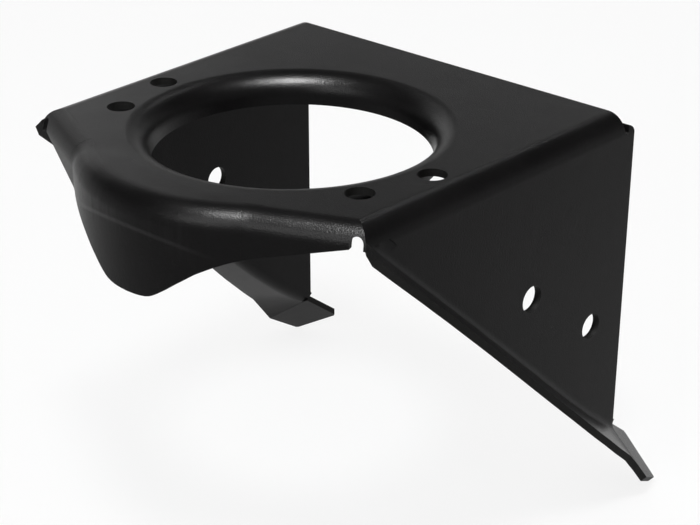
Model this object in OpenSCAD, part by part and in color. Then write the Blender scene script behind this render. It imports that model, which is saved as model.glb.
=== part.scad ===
// Stamped sheet bracket: a top plate with a rolled hole, a drawn nose with a hanging tongue,
// and two side plates whose diagonal lower edges are flared outward and end in tabs.
// The origin is midway between the rear pair of bolt holes in the top plate, on its upper face.
// X right, Y back, Z up. Plan distances below are from the large hole's axis.

/* [Sheet] */
// Thickness of the sheet
sheet_t = 3; // [2:0.5:4]
// Outer radius of the bends round the top plate
bend_r = 8.7; // [6:0.1:11]

/* [Top plate] */
// Width over the side plates, level with the hole's axis
top_w = 172.5; // [168:0.5:200]
// Distance from the hole's axis to the back edge
top_back = 93; // [85:0.5:110]
// Angle by which each side closes in toward the front
side_taper = 1.5; // [0:0.1:3]

/* [Rolled hole] */
// Inner radius of the collar
hole_r = 54; // [48:0.5:58]
// Outer radius of the roll round the hole
hole_roll_r = 9.4; // [7:0.1:10]
// Depth of the collar below the upper face
collar_depth = 12.4; // [10.5:0.1:16]

/* [Bolt holes] */
// Diameter of every bolt hole
bolt_d = 11; // [8:0.5:12]
// Distance from the middle line to the rear pair in the top plate
top_bolt_rear_x = 70.5; // [69.5:0.5:71.5]
// Distance of the rear pair from the hole's axis, toward the back
top_bolt_rear_y = -1.4; // [-4:0.1:4]
// Distance from the middle line to the front pair in the top plate
top_bolt_front_x = 62.5; // [61.5:0.5:66]
// Distance of the front pair from the hole's axis, toward the back
top_bolt_front_y = -31; // [-34:0.5:-28]
// Position of the front hole in a side plate, toward the back
side_bolt_front_y = 39; // [30:0.5:45]
// Depth of the front hole in a side plate
side_bolt_front_z = 59.2; // [50:0.1:66]
// Position of the rear hole in a side plate, toward the back
side_bolt_rear_y = 78.3; // [65:0.1:84]
// Depth of the rear hole in a side plate
side_bolt_rear_z = 85.8; // [70:0.1:95]

/* [Nose and tongue] */
// Radius of the nose
nose_r = 74; // [73:0.5:80]
// Distance of the nose's centre ahead of the hole's axis
nose_ahead = 11.6; // [9:0.1:14]
// Half the angle that the nose spans
nose_half = 36.5; // [34:0.5:40]
// Radius of the hollow between the nose and the front corner
nose_blend_r = 15; // [8:1:40]
// Angle of the straight run from the hollow to the front corner
run_angle = 24; // [20:0.5:28]
// Depth of the tongue at the middle line
tongue_depth = 38.7; // [34:0.1:50]
// Half width of the tongue, where its sides are steepest
tongue_half_w = 21; // [16:0.5:26]
// Depth of the skirt where the tongue ends
skirt_depth = 18.4; // [15:0.1:22]
// Depth of the skirt at the corner notch
skirt_end_depth = 8; // [6.5:0.1:11]
// Width of the notch beside each front corner
notch_w = 5; // [3:0.5:7]
// Depth at which the notch begins
notch_top = 3.5; // [3.5:0.5:5]

/* [Side plates] */
// Distance that the side plates stand behind the top plate
side_overhang = 5.9; // [3:0.1:10]
// Depth at which the back edge begins to slant forward
side_back_depth = 126.3; // [115:0.1:130]
// Slope angle of the diagonal fold
fold_angle = 43; // [40:0.5:46]
// Distance of the fold from the hole's axis, square to the fold
fold_dist = 38.8; // [36:0.1:42]

/* [Flange and tab] */
// Inner radius of the diagonal fold
flange_r = 4; // [2:0.5:6]
// Fold angle at its steepest
flange_angle = 71; // [60:0.5:76]
// Width of the flange at its middle
flange_w = 18; // [14:0.5:22]
// Length of the tab past the side plate, along its inner edge
tab_len = 21; // [17:0.5:26]
// Angle of the tab to the side plate
tab_angle = 59; // [54:0.5:66]

/* [Hidden] */
arc_fn = 48;
far = 400;
// Overlap of pieces that meet along a tangent
lap = 0.05;
// Flat lead-in of each rolled edge: a thin tongue inside the flat plate's edge
lead = 1.5;
tuck = 0.1;

// Rolled edge and wall, its outer face at x = 0 and its upper face at y = 0
module wall_profile(depth) {
    polygon([[-bend_r, 0], [-bend_r - lead, -tuck], [-bend_r - lead, tuck - sheet_t], [-bend_r, -sheet_t]]);
    intersection() {
        translate([-bend_r, -bend_r]) difference() {
            circle(r = bend_r, $fn = arc_fn);
            circle(r = bend_r - sheet_t, $fn = arc_fn);
        }
        translate([-bend_r, -bend_r]) square(bend_r);
    }
    translate([-sheet_t, -depth]) square([sheet_t, depth - bend_r]);
}

// Where the wall runs in plan
half_w0 = top_w / 2;
nose_c = [0, -nose_ahead];
blend_c = nose_c + (nose_r + nose_blend_r) * [sin(nose_half), -cos(nose_half)];
run_n = [sin(run_angle), -cos(run_angle)];
run_d = [cos(run_angle), sin(run_angle)];
side_n = [cos(side_taper), -sin(side_taper)];
run_start = blend_c - nose_blend_r * run_n;

// The point where two lines cross, each given by its normal and its distance from the origin
function crossing(n1, c1, n2, c2) =
    [c1 * n2[1] - c2 * n1[1], n1[0] * c2 - n2[0] * c1] / (n1[0] * n2[1] - n2[0] * n1[1]);
run_c = run_start * run_n;
side_c = half_w0 * cos(side_taper);
corner = crossing(run_n, run_c, side_n, side_c);
corner_in = crossing(run_n, run_c - bend_r, side_n, side_c - bend_r);
// Inset of the flat plate
seat = bend_r + 0.3;
mitre = atan2(corner[1] - corner_in[1], corner[0] - corner_in[0]);

// Everything ahead of, or behind, the upright plane through the front corner's mitre
module ahead_of_mitre() {
    translate([corner[0], corner[1], -far / 2]) rotate([0, 0, mitre])
        translate([-far / 2, lap - far, 0]) cube([far, far, far]);
}
module behind_mitre() {
    translate([corner[0], corner[1], -far / 2]) rotate([0, 0, mitre])
        translate([-far / 2, -lap, 0]) cube([far, far, far]);
}

function flip(pts) = [for (i = [len(pts) - 1:-1:0]) [-pts[i][0], pts[i][1]]];

// Direction in plan at an angle from straight ahead toward the right
function bearing(a) = [sin(a), -cos(a)];

// Flat part of the top, before it is pierced
module top_flat() {
    seat_corner = crossing(run_n, run_c - seat, side_n, side_c - seat);
    right = concat([
        crossing([0, 1], top_back, side_n, side_c - seat),
        seat_corner + 0.6 * [sin(side_taper), cos(side_taper)], seat_corner - 0.6 * run_d,
        run_start + run_d - seat * run_n
    ], [for (a = [run_angle + 1, (run_angle + nose_half) / 2 + 0.7, nose_half - 1.2])
        blend_c - (nose_blend_r + seat) * bearing(a)
    ], [nose_c + (nose_r - seat - 3) * bearing(nose_half - 2)]);
    translate([0, 0, -sheet_t]) {
        linear_extrude(sheet_t) polygon(concat(right, flip(right)));
        translate(nose_c) cylinder(r = nose_r - seat, h = sheet_t, $fn = 72);
    }
}

// Smooth curve through points, with n steps between neighbours
function smooth(p, n) =
    let (last = len(p) - 1)
    concat([for (i = [0:last - 1]) for (k = [0:n - 1])
        let (t = k / n, a = p[max(i - 1, 0)], b = p[i], c = p[i + 1], d = p[min(i + 2, last)])
        0.5 * (2 * b + (c - a) * t + (2 * a - 5 * b + 4 * c - d) * t * t + (3 * b - a - 3 * c + d) * t * t * t)],
        [p[last]]);

// Lower outline of tongue and skirt in front view, from the middle line to the right
tongue_low = tongue_depth - skirt_depth;
skirt_line = smooth([
    [0, -tongue_depth], [tongue_half_w * 0.52, -tongue_depth + tongue_low * 0.06],
    [tongue_half_w, -tongue_depth + tongue_low * 0.39], [tongue_half_w * 1.43, -tongue_depth + tongue_low * 0.7],
    [tongue_half_w * 2, -skirt_depth], [57.5, -skirt_depth * 0.56 - skirt_end_depth * 0.44], [79, -skirt_end_depth]
], 6);

// Solid above the skirt line, seen from the front
module skirt_keep() {
    right = concat([[110, 1], [110, -skirt_end_depth]], [for (i = [len(skirt_line) - 1:-1:1]) skirt_line[i]]);
    rotate([90, 0, 0]) linear_extrude(far, center = true)
        polygon(concat(right, [skirt_line[0]], flip(right)));
}

// Rolled wall round the nose, down to the tongue's edge
module nose_wall() {
    intersection() {
        translate(nose_c) rotate([0, 0, -90 - nose_half]) rotate_extrude(angle = 2 * nose_half, $fn = 72)
            translate([nose_r, 0]) wall_profile(tongue_depth + 5);
        skirt_keep();
    }
}

// Straight run between the hollow and the right corner, with the rounded notch beside the corner
run_len = norm(corner - run_start);
module run_wall() {
    difference() {
        intersection() {
            translate(corner + 12 * run_d) rotate([0, 0, run_angle - 90]) rotate([90, 0, 0])
                linear_extrude(run_len + 12 - 2.1) wall_profile(tongue_depth + 5);
            ahead_of_mitre();
            skirt_keep();
        }
        translate(corner - (1.2 + notch_w / 2) * run_d) rotate([0, 0, run_angle])
            translate([0, 0, -max(notch_top, sheet_t + 0.4) - notch_w / 2]) {
                rotate([90, 0, 0]) cylinder(d = notch_w, h = 40, center = true, $fn = 48);
                translate([0, 0, -far / 2]) cube([notch_w, 40, far], center = true);
            }
    }
}

// Section of the rolled wall down to the height low, as inward distance and height: the outer side from
// the plate down, then the inner side back up. Its inner end is tucked into the plate's edge
roll_n = 8;
function wall_section(low, inset) =
    let (c = bend_r, r = bend_r - inset, ri = bend_r - sheet_t + inset)
    concat(
        [[c + lead, -tuck]], [for (i = [0:roll_n]) let (a = 90 * i / roll_n) [c - r * sin(a), r * cos(a) - c]],
        [[inset, low + inset], [sheet_t - inset, low + inset]],
        [for (i = [roll_n:-1:0]) let (a = 90 * i / roll_n) [c - ri * sin(a), ri * cos(a) - c]],
        [[c + lead, tuck - sheet_t]]
    );

// Stations round the hollow: a point on the outer face, the inward way and an inset. The first two stand
// inside the nose's end and the last one inside the straight run
hollow_stations = concat(
    [[nose_c + nose_r * bearing(nose_half - 0.8), -bearing(nose_half - 0.8), 0.15],
     [run_start + nose_blend_r * (run_n - bearing(nose_half)), -bearing(nose_half), 0.05]],
    [for (a = [nose_half - 1.5, nose_half * 0.7 + run_angle * 0.3, nose_half * 0.35 + run_angle * 0.65, run_angle])
        [blend_c - nose_blend_r * bearing(a), -bearing(a), 0]],
    [[run_start + 2 * run_d, -run_n, 0], [run_start + 3 * run_d, -run_n, 0.15]]
);

// Hollow between the nose and the right straight run
module hollow_wall() {
    loft([for (p = hollow_stations)
        [for (q = wall_section(lookup(p[0][0], skirt_line), p[2]))
            [p[0][0] + q[0] * p[1][0], p[0][1] + q[0] * p[1][1], q[1]]]]);
}

// Closed solid through a list of sections with equally many points, each one an outer row and back
module loft(rows) {
    n = len(rows) - 1;
    k = len(rows[0]);
    half = k / 2;
    polyhedron(
        points = [for (r = rows) for (p = r) p],
        faces = concat(
            [for (i = [0:n - 1]) for (j = [0:k - 1]) for (h = [0, 1])
                let (a = i * k + j, b = i * k + (j + 1) % k, c = (i + 1) * k + (j + 1) % k, d = (i + 1) * k + j)
                h == 0 ? [a, c, b] : [a, d, c]],
            [for (j = [0:half - 2]) for (h = [0, 1]) h == 0 ? [j, k - 2 - j, k - 1 - j] : [j, j + 1, k - 2 - j]],
            [for (j = [0:half - 2]) for (h = [0, 1]) let (o = n * k)
                h == 0 ? [o + j, o + k - 1 - j, o + k - 2 - j] : [o + j, o + k - 2 - j, o + j + 1]]
        ));
}

// Directions of the diagonal fold in the side plate's own frame: along it, and down across it
fold_e = [0, cos(fold_angle), -sin(fold_angle)];
fold_m = [0, -sin(fold_angle), -cos(fold_angle)];
side_back = top_back + side_overhang;
plate_q = fold_dist - flange_r * tan(flange_angle / 2) - 3;
function fold_point(s, q, x) = s * fold_e + q * fold_m + [x, 0, 0];

side_front = corner[1];

// Side plate with its rolled upper edge, in its own frame: outer face at x = 0
module side_sheet() {
    intersection() {
        translate([0, side_back, 0]) rotate([90, 0, 0]) linear_extrude(side_back - side_front)
            wall_profile(side_back_depth + 30);
        rotate([90, 0, 90]) linear_extrude(far, center = true) polygon(side_outline());
    }
}

function arc(c, r, a0, a1, n) = [for (i = [0:n]) let (a = a0 + (a1 - a0) * i / n) c + r * [cos(a), sin(a)]];

// Outline of the side plate above the fold, in y and z
function side_outline() =
    let (strip = -7, yf = fold_point((-strip - plate_q * cos(fold_angle)) / sin(fold_angle), plate_q, 0)[1],
         yb = fold_point(fold_s1 + 6, plate_q, 0))
    [[side_front, 1], [side_back, 1], [side_back, -side_back_depth], [yb[1], yb[2]], [yf, strip], [side_front, strip]];

// Space above the side plate's upper back corner: a small rounded valley parts the corner from the top plate
module back_relief() {
    valley_r = 1.2;
    corner_r = 3;
    rotate([90, 0, 90]) linear_extrude(far, center = true) polygon(concat(
        [[top_back, 2]],
        arc([top_back + valley_r, -7], valley_r, 180, 360, 6),
        arc([side_back - corner_r, -8], corner_r, 90, 0, 6),
        [[side_back + 9, -8], [side_back + 9, 2]]
    ));
}

// Fold angle, flange width, fold position and lean of the end along the fold
fold_s0 = -36;
fold_s1 = 167;
fold_span = fold_s1 - fold_s0;
function at(s) = (s - fold_s0) / fold_span;
function fold_beta(s) = flange_angle * lookup(at(s), [[0, 0.7], [0.08, 0.74], [0.18, 0.84], [0.28, 0.92],
    [0.4, 0.965], [0.65, 0.985], [0.75, 1], [0.84, 1], [0.92, 0.98], [1, tab_angle / flange_angle]]);
function fold_w(s) = flange_w * lookup(at(s), [[0, 0.32], [0.08, 0.33], [0.18, 0.36], [0.28, 0.44], [0.4, 0.56],
    [0.52, 0.67], [0.65, 0.82], [0.75, 0.98], [0.84, 1.11], [0.92, 1.18], [1, 1.36]]);
function fold_q(s) = fold_dist - lookup(at(s), [[0.8, 0], [0.9, 0.6], [1, 3]]);
function fold_lean(s) = lookup(at(s), [[0.8, 0], [1, 9]]);
// Where the section begins on the plate, and how far the rolled top edge draws the sheet inward there
function fold_top(s) = max(plate_q, (-s * sin(fold_angle) + 2.2) / cos(fold_angle));
function draw_in(s, q) =
    let (h = min(max(-s * sin(fold_angle) - q * cos(fold_angle) + bend_r, 0), bend_r - 0.5))
    sqrt(bend_r * bend_r - h * h) - bend_r - 0.04 * h;

arc_n = 5;
// One section across the fold at s: the outer side from the plate down to the edge, then back inside
function fold_section(s) =
    let (b = fold_beta(s), q = fold_q(s), w = fold_w(s), lean = fold_lean(s), t = sheet_t,
         tang = flange_r * tan(b / 2),
         top = fold_top(s),
         outer = concat([[top, 0]],
             [for (i = [0:arc_n]) let (a = b * i / arc_n) [q - tang + flange_r * sin(a), flange_r * (1 - cos(a))]],
             [[q + w * cos(b), w * sin(b)]]),
         inner = concat([[top, -t]],
             [for (i = [0:arc_n]) let (a = b * i / arc_n)
                 [q - tang + (flange_r + t) * sin(a), flange_r - (flange_r + t) * cos(a)]],
             [[q + w * cos(b) + t * sin(b), w * sin(b) - t * cos(b)]]),
         pts = concat(outer, [for (i = [len(inner) - 1:-1:0]) inner[i]]))
    [for (p = pts) fold_point(s + lean * max(0, p[1]) / (w * sin(b)), p[0], p[1] + draw_in(s, p[0]))];

// Flared diagonal flange with its fold, lofted along the fold
module flange_loft() {
    n = 26;
    loft([for (i = [0:n]) fold_section(fold_s0 + fold_span * i / n)]);
}

// Tab: the flange carried on past the side plate's lower corner
module tab() {
    b = tab_angle;
    w = fold_w(fold_s1);
    q = fold_q(fold_s1);
    lean = fold_lean(fold_s1);
    // Plane of the tab: x along the fold, y outward along the flange, z up from its lower face
    place = fold_point(fold_s1, q + sheet_t * sin(b), -sheet_t * cos(b));
    u = fold_e;
    v = cos(b) * fold_m + [sin(b), 0, 0];
    n = cross(u, v);
    multmatrix([for (i = [0:2]) [u[i], v[i], n[i], place[i]]])
        translate([0, 0, -sheet_t]) linear_extrude(sheet_t)
            polygon([[-0.5, -2], [-0.5, 0], [lean - 0.5, w], [lean, w], [lean + 15.3, w - 5.7], [lean + 15.8, w - 7],
                [tab_len + 0.2, -4.3], [tab_len - 0.9, -5.3]]);
}

module side() {
    intersection() {
        union() {
            side_sheet();
            flange_loft();
            tab();
        }
        translate([-far / 2, side_front, -far]) cube([far, far, far]);
    }
}

// Side plate in its place on the right
module placed_side() {
    difference() {
        intersection() {
            translate([half_w0, 0, 0]) rotate([0, 0, -side_taper]) side();
            behind_mitre();
        }
        back_relief();
        for (h = [[side_bolt_front_y, side_bolt_front_z], [side_bolt_rear_y, side_bolt_rear_z]])
            translate([half_w0, h[0], -h[1]]) rotate([0, 90, 0]) cylinder(d = bolt_d, h = 40, center = true, $fn = 64);
    }
}

// Roll and collar round the large hole
module hole_roll() {
    rotate_extrude($fn = 72) {
        translate([hole_r + hole_roll_r, -sheet_t]) square([lead, sheet_t]);
        intersection() {
            translate([hole_r + hole_roll_r, -hole_roll_r]) difference() {
                circle(r = hole_roll_r, $fn = arc_fn);
                circle(r = hole_roll_r - sheet_t, $fn = arc_fn);
            }
            translate([hole_r, -hole_roll_r]) square(hole_roll_r);
        }
        translate([hole_r, -collar_depth]) square([sheet_t, collar_depth - hole_roll_r]);
    }
}

module bracket() {
    color([0.1, 0.1, 0.11]) translate([0, -top_bolt_rear_y, 0]) {
        difference() {
            union() {
                difference() {
                    top_flat();
                    translate([0, 0, -far / 2])
                        cylinder(r = hole_r + hole_roll_r + lead / 2, h = far, $fn = 72);
                }
                hole_roll();
            }
            for (m = [-1, 1]) {
                translate([m * top_bolt_rear_x, top_bolt_rear_y, -10]) cylinder(d = bolt_d, h = 20, $fn = 64);
                translate([m * top_bolt_front_x, top_bolt_front_y, -10]) cylinder(d = bolt_d, h = 20, $fn = 64);
            }
        }
        nose_wall();
        for (m = [0, 1]) mirror([m, 0, 0]) {
            hollow_wall();
            run_wall();
        }
        placed_side();
        mirror([1, 0, 0]) placed_side();
    }
}

bracket();
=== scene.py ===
"""Stamped sheet bracket: one pressed and folded sheet with a satin black coat."""

import math

import bmesh
import bpy
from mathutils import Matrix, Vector
from mathutils.bvhtree import BVHTree


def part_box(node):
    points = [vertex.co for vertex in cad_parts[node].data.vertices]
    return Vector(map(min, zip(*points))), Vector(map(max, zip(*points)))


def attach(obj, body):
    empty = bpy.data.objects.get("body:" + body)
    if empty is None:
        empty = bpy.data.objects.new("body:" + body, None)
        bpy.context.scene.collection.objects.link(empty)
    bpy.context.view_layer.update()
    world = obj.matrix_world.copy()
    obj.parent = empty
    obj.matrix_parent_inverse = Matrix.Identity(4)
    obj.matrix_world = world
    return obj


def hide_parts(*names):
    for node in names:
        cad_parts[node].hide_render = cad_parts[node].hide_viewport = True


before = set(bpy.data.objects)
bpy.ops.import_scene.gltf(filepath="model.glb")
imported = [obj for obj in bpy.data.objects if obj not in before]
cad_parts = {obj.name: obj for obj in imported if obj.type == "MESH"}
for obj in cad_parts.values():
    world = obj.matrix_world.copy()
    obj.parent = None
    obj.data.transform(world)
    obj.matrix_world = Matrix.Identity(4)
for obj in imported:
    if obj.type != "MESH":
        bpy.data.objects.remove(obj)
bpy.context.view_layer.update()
SCENE = bpy.context.scene

# Camera, fitted to the photograph's view: metres, radians and pixels, with the sensor in millimetres
CAMERA_AT = Vector((0.4397, -0.4489, 0.2466))
CAMERA_AZIMUTH = math.radians(42.32)
CAMERA_ELEVATION = math.radians(25.85)
CAMERA_NEAR, CAMERA_FAR = 0.01, 20
FOCAL_PIXELS = 1777.5
FRAME_WIDTH = 700
SENSOR = 36.0

# Sheet, in metres; faces that turn less than FLAT_TURN are joined into one
SHEET = 0.003
SHEARED_DEPTH = 1.45 * SHEET
EDGE_ROUND = 0.00035
WELD = 2e-6
PROBE_START = 2e-5
FLAT_TURN = math.radians(0.4)
SHARP_TURN = math.radians(32)
BROKEN_TURN = math.radians(40)

# Coat and sheared edge: linear colours, roughness, and the depth of the relief in metres
COAT_IOR = 1.15
COAT_DARK = (0.0022, 0.0021, 0.0023, 1)
COAT_PALE = (0.0048, 0.0045, 0.0046, 1)
# The paler coat of rub marks and draw streaks, also used as a painted highlight along the nose crease
COAT_WORN_AND_HIGHLIT = (0.016, 0.0155, 0.016, 1)
COAT_ROUGHNESS = 0.2
COAT_RELIEF = 0.0001
EDGE_DARK = (0.0026, 0.0026, 0.0025, 1)
EDGE_PALE = (0.007, 0.0068, 0.0061, 1)
EDGE_ROUGHNESS = 0.42
EDGE_RELIEF = 0.00008

# Grain and clouds of the coat, by size in metres
GRAIN_SIZE, CLOUD_SIZE = 0.0006, 0.03
EDGE_GRAIN_SIZE, EDGE_CLOUD_SIZE = 0.0004, 0.006

# Rub marks: how they repeat per metre each way, and where in the noise a scuff or a patch of them begins
RUB_STRETCH = (60, 900, 200)
RUB_TURN = 0.6
RUB_PATCHES = 22.0
SCUFF_RANGE = (0.62, 0.8)
PATCH_RANGE = (0.5, 0.7)

# Crease across the nose wall, in metres, with a painted highlight along its line. It lies CREASE_DEPTH under
# the top, and lower away from the middle by CREASE_FALL times x squared. A range is where a mark fades in:
# from the plate's y to the wall's, from the ends to the middle, from beside the crease to its painted
# highlight line, and over its step
CREASE_DEPTH = 0.0124
CREASE_FALL = 4.2
NOSE_RANGE = (-0.055, -0.066)
CREASE_RANGE = (0.04, 0.022)
CREASE_HIGHLIGHT_RANGE = (0.0014, 0.0001)
STEP_RANGE = (-0.0012, 0.0012)

# Draw streaks down the nose wall, in metres: they fade in below the roll, and out a little under the crease
STREAK_STRETCH = (420, 420, 14)
STREAK_RANGE = (0.45, 0.75)
ROLL_RANGE = (-0.004, -0.009)
UNDER_CREASE_RANGE = (-0.007, 0.0)

# Studio: the floor in metres; the backdrop dims in two ranges, from 0 at the horizon to 1 overhead
FLOOR_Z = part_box("bracket")[0][2]
FLOOR_GAP = 0.0002
FLOOR_HALF = 15
FLOOR_COLOUR = (0.86, 0.86, 0.86, 1)
FLOOR_ROUGHNESS = 0.9
FLOOR_GLOW = 0.84
WHITE = (1, 1, 1, 1)
ROOM_COLOUR = (0.6, 0.6, 0.6, 1)
WALL_RANGE = (0.12, 0.3)
CEILING_RANGE = (0.4, 0.6)
DIM = 0.3

# Lamps: name, place and width in metres, power in watts, and whether it shows in the coat's sheen only
LAMP_AIM = Vector((0, 0, -0.05))
OVERHEAD = Vector((0.33, -0.36, 1.2))
FRONT_WINDOW = Vector((0.17, -1.25, 0.72))
LAMPS = (
    ("overhead", OVERHEAD, 0.3, 6, False),
    ("overhead_sheen", OVERHEAD, 0.28, 170, True),
    ("front_window", FRONT_WINDOW, 0.4, 3, False),
    ("front_sheen", FRONT_WINDOW, 0.34, 30, True),
    ("left_sheen", Vector((-1.3, 0.52, 0.54)), 0.95, 2.2, True),
    ("back_sheen", Vector((-0.42, 0.93, 0.95)), 0.16, 1.6, True),
)


def make_camera():
    camera = bpy.data.objects.new("camera", bpy.data.cameras.new("camera"))
    SCENE.collection.objects.link(camera)
    camera.data.sensor_width = SENSOR
    camera.data.lens = FOCAL_PIXELS / FRAME_WIDTH * SENSOR
    camera.data.clip_start, camera.data.clip_end = CAMERA_NEAR, CAMERA_FAR
    level = math.cos(CAMERA_ELEVATION)
    look = Vector((-math.sin(CAMERA_AZIMUTH) * level, math.cos(CAMERA_AZIMUTH) * level,
                   -math.sin(CAMERA_ELEVATION)))
    camera.location = CAMERA_AT
    camera.rotation_mode = "QUATERNION"
    camera.rotation_quaternion = look.to_track_quat("-Z", "Y")
    SCENE.camera = camera


def new_material(name):
    material = bpy.data.materials.new(name)
    material.use_nodes = True
    nodes = material.node_tree.nodes
    nodes.clear()
    output = nodes.new("ShaderNodeOutputMaterial")
    shader = nodes.new("ShaderNodeBsdfPrincipled")
    material.node_tree.links.new(shader.outputs["BSDF"], output.inputs["Surface"])
    return material, nodes, material.node_tree.links, shader


def feed(links, value, socket):
    """Set a socket to a number, or link it to another node's output."""
    if isinstance(value, (int, float)):
        socket.default_value = value
    else:
        links.new(value, socket)


def math_node(nodes, links, operation, first, second=0.0, third=0.0):
    node = nodes.new("ShaderNodeMath")
    node.operation = operation
    for socket, value in zip(node.inputs, (first, second, third)):
        feed(links, value, socket)
    return node.outputs[0]


def weighted_sum(nodes, links, start, *weighted):
    """The start plus each mask times its weight."""
    total = start
    for mask, weight in weighted:
        total = math_node(nodes, links, "MULTIPLY_ADD", mask, weight, total)
    return total


def noise(nodes, links, vector, scale, detail=2.0, roughness=0.5):
    node = nodes.new("ShaderNodeTexNoise")
    feed(links, scale, node.inputs["Scale"])
    node.inputs["Detail"].default_value = detail
    node.inputs["Roughness"].default_value = roughness
    links.new(vector, node.inputs["Vector"])
    return node.outputs["Fac"]


def stretched(nodes, links, vector, scale, turn=0.0):
    """A place scaled along each axis and turned about Z, so that a noise read there has a direction."""
    node = nodes.new("ShaderNodeMapping")
    node.inputs["Scale"].default_value = scale
    node.inputs["Rotation"].default_value = (0, 0, turn)
    links.new(vector, node.inputs["Vector"])
    return node.outputs["Vector"]


def ramp(nodes, links, value, low, high, to_low=0.0, to_high=1.0):
    """A smooth change from one level to the other while the value goes from low to high."""
    node = nodes.new("ShaderNodeMapRange")
    node.interpolation_type = "SMOOTHSTEP"
    for name, number in (("From Min", low), ("From Max", high), ("To Min", to_low), ("To Max", to_high)):
        node.inputs[name].default_value = number
    links.new(value, node.inputs["Value"])
    return node.outputs["Result"]


def coat_group():
    """The coat's look over a surface: fine grain, soft cloudiness and rub marks."""
    group = bpy.data.node_groups.new("dipped_coat", "ShaderNodeTree")
    for name, size in (("Grain size", GRAIN_SIZE), ("Cloud size", CLOUD_SIZE)):
        group.interface.new_socket(name, in_out="INPUT", socket_type="NodeSocketFloat").default_value = size
    for name in ("Grain", "Cloud", "Rub"):
        group.interface.new_socket(name, in_out="OUTPUT", socket_type="NodeSocketFloat")
    nodes, links = group.nodes, group.links
    enter, leave = nodes.new("NodeGroupInput"), nodes.new("NodeGroupOutput")
    place = nodes.new("ShaderNodeTexCoord").outputs["Object"]
    for name, detail, roughness in (("Grain", 3.0, 0.6), ("Cloud", 4.0, 0.55)):
        scale = math_node(nodes, links, "DIVIDE", 1.0, enter.outputs[f"{name} size"])
        links.new(noise(nodes, links, place, scale, detail, roughness), leave.inputs[name])
    # Rub marks: thin scattered scuffs, long in one direction
    along = stretched(nodes, links, place, RUB_STRETCH, RUB_TURN)
    scuff = noise(nodes, links, along, 1.0, 4.0, 0.6)
    patch = noise(nodes, links, place, RUB_PATCHES)
    rub = math_node(nodes, links, "MULTIPLY", ramp(nodes, links, scuff, *SCUFF_RANGE),
                    ramp(nodes, links, patch, *PATCH_RANGE))
    links.new(rub, leave.inputs["Rub"])
    return group


def place_marks(nodes, group):
    marks = nodes.new("ShaderNodeGroup")
    marks.node_tree = group
    return marks


def clouded_tint(nodes, links, marks, dark, pale):
    tint = nodes.new("ShaderNodeValToRGB")
    tint.color_ramp.elements[0].color = dark
    tint.color_ramp.elements[1].color = pale
    links.new(marks.outputs["Cloud"], tint.inputs["Fac"])
    return tint.outputs["Color"]


def raise_relief(nodes, links, shader, height, strength, depth):
    bump = nodes.new("ShaderNodeBump")
    bump.inputs["Strength"].default_value = strength
    bump.inputs["Distance"].default_value = depth
    links.new(height, bump.inputs["Height"])
    links.new(bump.outputs["Normal"], shader.inputs["Normal"])


def nose_marks(nodes, links):
    """Masks on the nose wall: a painted highlight along the crease, the raised side above it, and the draw
    streaks.
    """
    place = nodes.new("ShaderNodeTexCoord").outputs["Object"]
    split = nodes.new("ShaderNodeSeparateXYZ")
    links.new(place, split.inputs[0])
    across, back, up = split.outputs

    # The crease runs across the wall, lower toward its ends
    across_squared = math_node(nodes, links, "MULTIPLY", across, across)
    crease = math_node(nodes, links, "MULTIPLY_ADD", across_squared, -CREASE_FALL, -CREASE_DEPTH)
    over = math_node(nodes, links, "SUBTRACT", up, crease)
    off_middle = math_node(nodes, links, "ABSOLUTE", across)
    off_crease = math_node(nodes, links, "ABSOLUTE", over)
    front = math_node(nodes, links, "MULTIPLY", ramp(nodes, links, back, *NOSE_RANGE),
                      ramp(nodes, links, off_middle, *CREASE_RANGE))
    # The crease line is a painted highlight: paler coat colour laid along the crease
    crease_highlight = math_node(nodes, links, "MULTIPLY", front, ramp(nodes, links, off_crease, *CREASE_HIGHLIGHT_RANGE))
    shoulder = math_node(nodes, links, "MULTIPLY", front, ramp(nodes, links, over, *STEP_RANGE))

    # The streaks run down the wall, from the roll to a little under the crease
    down = stretched(nodes, links, place, STREAK_STRETCH)
    streak = ramp(nodes, links, noise(nodes, links, down, 1.0, 3.0), *STREAK_RANGE)
    on_nose = math_node(nodes, links, "MULTIPLY", front, ramp(nodes, links, up, *ROLL_RANGE))
    streaks = math_node(nodes, links, "MULTIPLY", math_node(nodes, links, "MULTIPLY", streak, on_nose),
                        ramp(nodes, links, over, *UNDER_CREASE_RANGE))
    return crease_highlight, shoulder, streaks


def coat_material(group):
    """Satin black coat, a little paler where it is rubbed or streaked, with a painted highlight along the
    nose crease.
    """
    material, nodes, links, shader = new_material("satin_black_coat")
    marks = place_marks(nodes, group)
    grain, cloud, rub = (marks.outputs[name] for name in ("Grain", "Cloud", "Rub"))
    crease_highlight, shoulder, streaks = nose_marks(nodes, links)

    worn_and_highlit = nodes.new("ShaderNodeMix")
    worn_and_highlit.data_type = "RGBA"
    # Rub marks and draw streaks are worn coat; the crease line is a painted highlight
    wear_and_highlight = weighted_sum(nodes, links, 0.0, (rub, 0.35), (crease_highlight, 0.4), (streaks, 0.2))
    links.new(wear_and_highlight, worn_and_highlit.inputs["Factor"])
    links.new(clouded_tint(nodes, links, marks, COAT_DARK, COAT_PALE), worn_and_highlit.inputs["A"])
    worn_and_highlit.inputs["B"].default_value = COAT_WORN_AND_HIGHLIT
    links.new(worn_and_highlit.outputs["Result"], shader.inputs["Base Color"])

    rough = weighted_sum(nodes, links, COAT_ROUGHNESS, (cloud, 0.14), (grain, 0.08), (streaks, 0.04))
    links.new(rough, shader.inputs["Roughness"])
    shader.inputs["IOR"].default_value = COAT_IOR

    height = weighted_sum(nodes, links, grain, (cloud, 1.5), (shoulder, 3.0), (streaks, 0.3))
    raise_relief(nodes, links, shader, height, 1.0, COAT_RELIEF)
    return material


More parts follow.
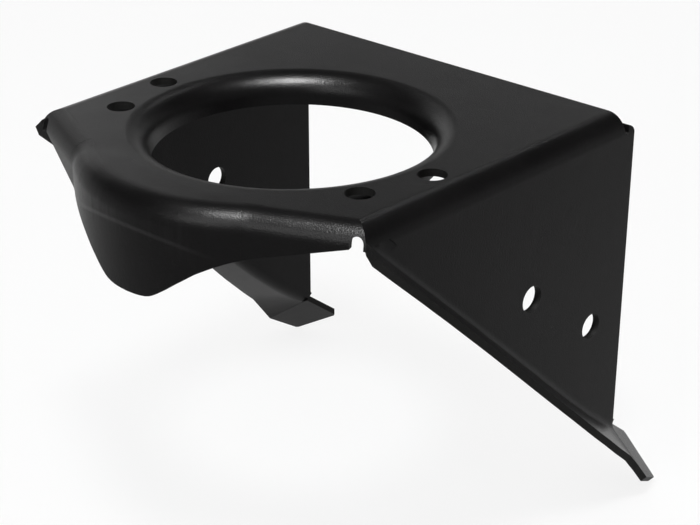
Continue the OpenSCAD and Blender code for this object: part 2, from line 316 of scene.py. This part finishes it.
def cut_edge_material(group):
    """Sheared edges, where the coat is thinner, a little paler and rougher, and more finely grained."""
    material, nodes, links, shader = new_material("sheared_edge")
    marks = place_marks(nodes, group)
    marks.inputs["Grain size"].default_value = EDGE_GRAIN_SIZE
    marks.inputs["Cloud size"].default_value = EDGE_CLOUD_SIZE
    grain = marks.outputs["Grain"]
    links.new(clouded_tint(nodes, links, marks, EDGE_DARK, EDGE_PALE), shader.inputs["Base Color"])
    links.new(weighted_sum(nodes, links, EDGE_ROUGHNESS, (grain, 0.2)), shader.inputs["Roughness"])
    shader.inputs["IOR"].default_value = COAT_IOR
    raise_relief(nodes, links, shader, grain, 0.5, EDGE_RELIEF)
    return material


def middle_points(shape):
    """The middle of each face's largest triangle, because a bent or holed face's own middle may be off it."""
    largest = {}
    for loops in shape.calc_loop_triangles():
        first, second, third = (loop.vert.co for loop in loops)
        size = (second - first).cross(third - first).length
        if size > largest.get(loops[0].face.index, (-1.0,))[0]:
            largest[loops[0].face.index] = (size, (first + second + third) / 3)
    return {index: middle for index, (size, middle) in largest.items()}


def formed_sheet(node, coat, edge):
    """The pressed sheet, welded from the solid's mesh, with softly broken edges."""
    shape = bmesh.new()
    shape.from_mesh(node.data)
    bmesh.ops.remove_doubles(shape, verts=shape.verts, dist=WELD)
    bmesh.ops.dissolve_limit(shape, angle_limit=FLAT_TURN, verts=shape.verts, edges=shape.edges)
    shape.normal_update()
    # A face with far more than one sheet of metal behind it is a sheared edge
    tree = BVHTree.FromBMesh(shape)
    middles = middle_points(shape)
    for face in shape.faces:
        distance = tree.ray_cast(middles[face.index] - face.normal * PROBE_START, -face.normal)[3]
        face.material_index = 1 if distance is None or distance > SHEARED_DEPTH else 0
        face.smooth = True
    mesh = bpy.data.meshes.new("formed_sheet")
    shape.to_mesh(mesh)
    shape.free()
    mesh.materials.append(coat)
    mesh.materials.append(edge)
    mesh.set_sharp_from_angle(angle=SHARP_TURN)
    piece = bpy.data.objects.new("formed_sheet", mesh)
    SCENE.collection.objects.link(piece)
    rounding = piece.modifiers.new("broken_edges", "BEVEL")
    rounding.width = EDGE_ROUND
    rounding.segments = 2
    rounding.limit_method = "ANGLE"
    rounding.angle_limit = BROKEN_TURN
    rounding.use_clamp_overlap = True
    rounding.material = -1
    even = piece.modifiers.new("even_shading", "WEIGHTED_NORMAL")
    even.keep_sharp = True
    return piece


def seen_rays(nodes, links, path):
    """One for camera rays, and for those that come by a reflection or through glass."""
    seen = math_node(nodes, links, "MAXIMUM", path.outputs["Is Camera Ray"], path.outputs["Is Glossy Ray"])
    return math_node(nodes, links, "MAXIMUM", seen, path.outputs["Is Transmission Ray"])


def mixed(nodes, links, share, first, second):
    mix = nodes.new("ShaderNodeMixShader")
    for socket, value in zip(mix.inputs, (share, first, second)):
        links.new(value, socket)
    return mix.outputs[0]


def make_floor():
    """A wide pale floor that looks white, and takes the bracket's shadow."""
    shape = bmesh.new()
    bmesh.ops.create_grid(shape, x_segments=1, y_segments=1, size=FLOOR_HALF)
    bmesh.ops.translate(shape, verts=shape.verts, vec=(0, 0, FLOOR_Z - FLOOR_GAP))
    mesh = bpy.data.meshes.new("floor")
    shape.to_mesh(mesh)
    shape.free()
    floor = bpy.data.objects.new("floor", mesh)
    SCENE.collection.objects.link(floor)

    material, nodes, links, shader = new_material("pale_floor")
    shader.inputs["Base Color"].default_value = FLOOR_COLOUR
    shader.inputs["Roughness"].default_value = FLOOR_ROUGHNESS
    glow = nodes.new("ShaderNodeEmission")
    glow.inputs["Color"].default_value = WHITE
    seen = seen_rays(nodes, links, nodes.new("ShaderNodeLightPath"))
    share = math_node(nodes, links, "MULTIPLY", seen, FLOOR_GLOW)
    top = mixed(nodes, links, share, shader.outputs["BSDF"], glow.outputs["Emission"])
    # From below the floor is clear, so the bracket's underside can be seen
    from_below = nodes.new("ShaderNodeNewGeometry").outputs["Backfacing"]
    clear = nodes.new("ShaderNodeBsdfTransparent").outputs[0]
    output = next(node for node in nodes if node.type == "OUTPUT_MATERIAL")
    links.new(mixed(nodes, links, from_below, top, clear), output.inputs["Surface"])
    mesh.materials.append(material)


def make_world():
    """A plain room that lights the bracket, and a backdrop for the rays that look at it or are reflected.

    The backdrop is white to a little above the horizon, and dim over that. The camera sees it white all over.
    """
    world = bpy.data.worlds.new("studio")
    SCENE.world = world
    world.use_nodes = True
    nodes, links = world.node_tree.nodes, world.node_tree.links
    nodes.clear()
    room = nodes.new("ShaderNodeBackground")
    room.inputs["Color"].default_value = ROOM_COLOUR
    backdrop = nodes.new("ShaderNodeBackground")
    backdrop.inputs["Color"].default_value = WHITE
    path = nodes.new("ShaderNodeLightPath")
    split = nodes.new("ShaderNodeSeparateXYZ")
    links.new(nodes.new("ShaderNodeTexCoord").outputs["Generated"], split.inputs[0])
    wall = ramp(nodes, links, split.outputs["Z"], *WALL_RANGE, 1.0, DIM)
    ceiling = ramp(nodes, links, split.outputs["Z"], *CEILING_RANGE, 1.0, DIM)
    level = math_node(nodes, links, "MAXIMUM", math_node(nodes, links, "MULTIPLY", wall, ceiling),
                      path.outputs["Is Camera Ray"])
    links.new(level, backdrop.inputs["Strength"])
    shown = mixed(nodes, links, seen_rays(nodes, links, path), room.outputs[0], backdrop.outputs[0])
    links.new(shown, nodes.new("ShaderNodeOutputWorld").inputs["Surface"])


def soft_light(name, place, width, power, sheen_only):
    """A round lamp aimed at the bracket; a sheen lamp shows in the coat's shine and lights nothing else."""
    lamp = bpy.data.lights.new(name, "AREA")
    lamp.shape = "DISK"
    lamp.size = width
    lamp.energy = power
    light = bpy.data.objects.new(name, lamp)
    light.location = place
    light.visible_diffuse = not sheen_only
    light.rotation_mode = "QUATERNION"
    light.rotation_quaternion = (LAMP_AIM - place).to_track_quat("-Z", "Y")
    SCENE.collection.objects.link(light)


SCENE.view_settings.view_transform = "Standard"
make_camera()
dipped = coat_group()
sheet = formed_sheet(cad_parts["bracket"], coat_material(dipped), cut_edge_material(dipped))
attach(sheet, "root")
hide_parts("bracket")
make_floor()
make_world()
for lamp in LAMPS:
    soft_light(*lamp)
